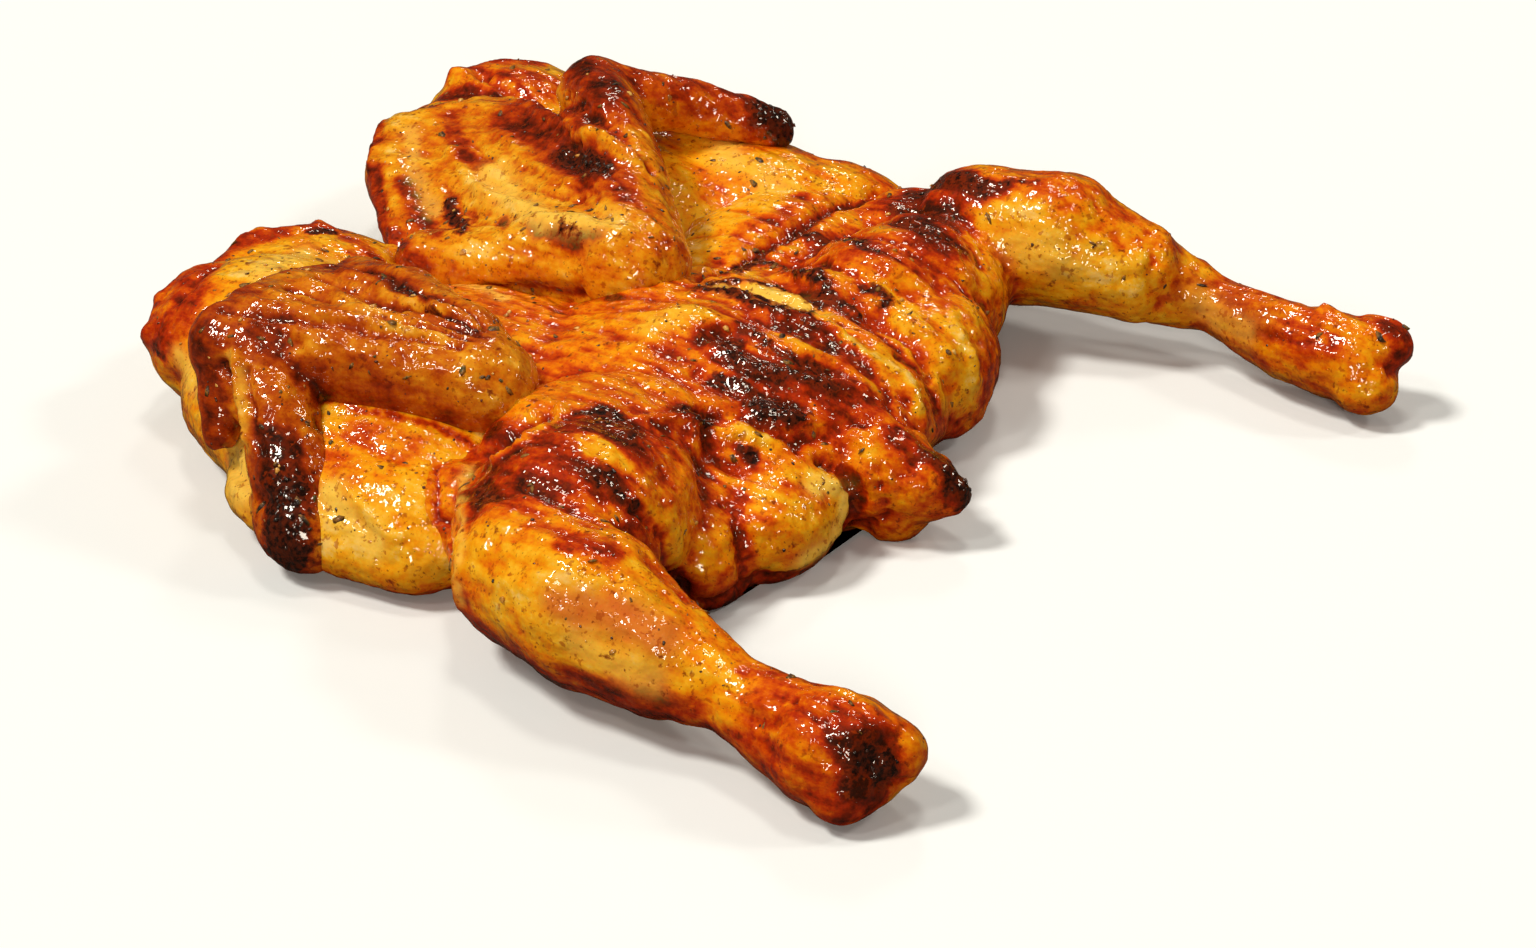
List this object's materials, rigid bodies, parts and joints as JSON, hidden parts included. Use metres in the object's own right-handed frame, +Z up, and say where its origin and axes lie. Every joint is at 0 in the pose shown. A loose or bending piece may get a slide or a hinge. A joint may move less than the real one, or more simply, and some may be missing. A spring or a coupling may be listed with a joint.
{
  "type": "roast chicken",
  "caption": "Whole butterflied roast chicken lying back up, wings folded over the breast halves and drumsticks trailing; charred, glossy, herb-flecked skin.",
  "frame": {"origin": "on the ground, under the middle of the bird's bounding box", "axes": "+Y from the tail to the neck end, +Z up out of the back, +X to the bird's right"},
  "size_m": [0.2542, 0.2992, 0.0595],
  "materials": {
    "roast_skin": "browned, oily skin with blackened grill char, herb flecks and a wet gloss"
  },
  "bodies": {
    "root": {"roast_chicken": "roast_skin"}
  },
  "joints": []
}
